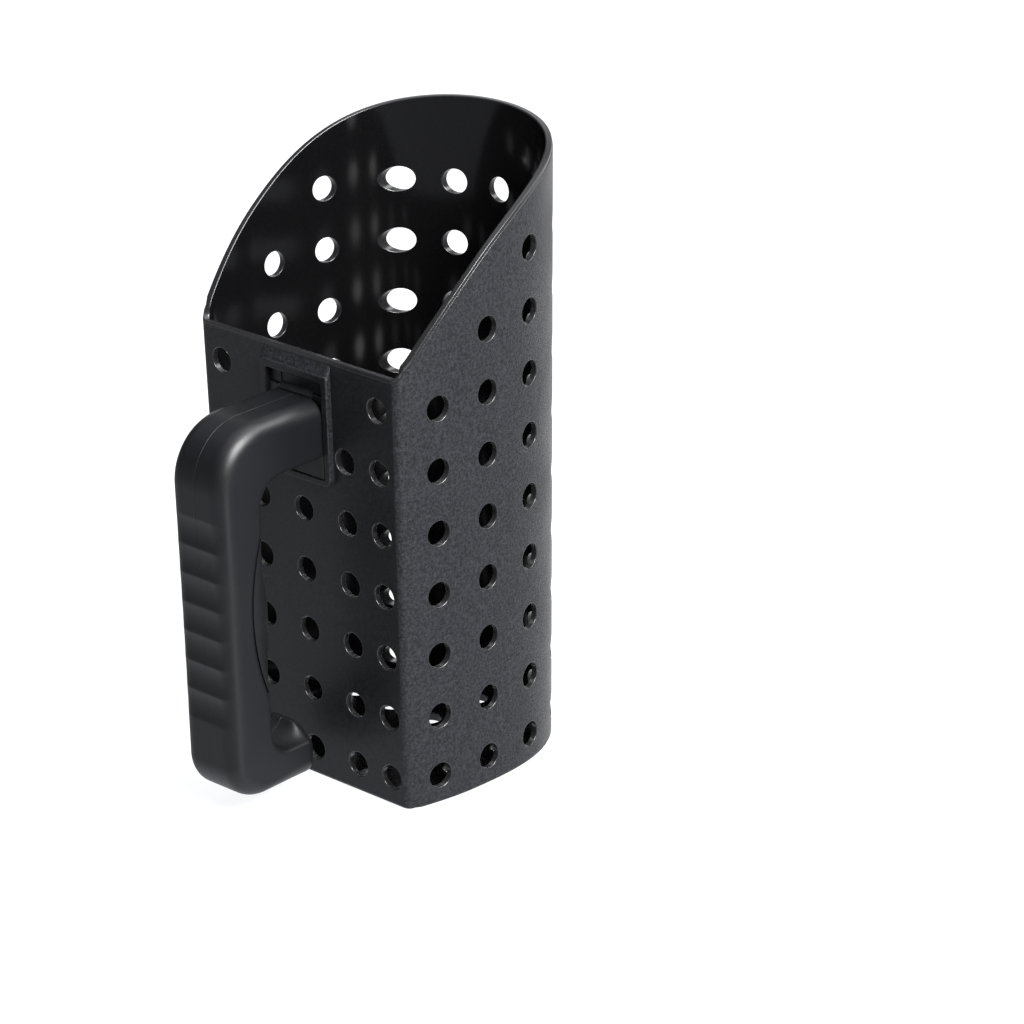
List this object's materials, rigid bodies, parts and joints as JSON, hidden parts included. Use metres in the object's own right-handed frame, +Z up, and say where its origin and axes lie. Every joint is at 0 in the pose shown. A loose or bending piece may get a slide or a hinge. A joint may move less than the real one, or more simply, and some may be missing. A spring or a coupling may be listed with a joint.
{
  "type": "beach sand scoop",
  "caption": "Hand sand scoop: perforated D-section plastic bucket with a slanted mouth and a C-shaped grip handle that hooks onto its flat back.",
  "frame": {"origin": "on the underside of the base, on the centre plane, between the two middle rows of base holes", "axes": "+Z up from the base to the mouth, +Y towards the rounded front, -Y towards the handle, +X to the right when looking from the handle to the front"},
  "size_m": [0.1044, 0.1472, 0.2177],
  "materials": {
    "bucket_plastic": "fine moulded grain outside, gloss inside and on the rim",
    "handle_plastic": "smooth satin",
    "finger_pad_plastic": "smooth satin, slightly softer than the handle",
    "screw_steel": "zinc plated"
  },
  "bodies": {
    "bucket": {"bucket": "bucket_plastic"},
    "latch": {"latch_tongue": "bucket_plastic"},
    "handle": {"handle_right_shell": "handle_plastic", "handle_left_shell": "handle_plastic", "finger_pad": "finger_pad_plastic", "handle_screw_root": "screw_steel", "handle_screw_grip": "screw_steel", "handle_screw_toe": "screw_steel"}
  },
  "joints": [
    {"name": "handle_unhook", "type": "slide", "parent": "bucket", "child": "handle", "axis": [0, -0.0201, 0.9998], "range_m": [0, 0.0026]},
    {"name": "latch_flex", "type": "hinge", "parent": "bucket", "child": "latch", "pos_m": [0, -0.04444, 0.1463], "axis": [1, 0, 0], "range_deg": [0, 5.2]}
  ],
  "couplings": [
    {"joint": "latch_flex", "follows": "handle_unhook", "rad_per_m": 34.5}
  ]
}
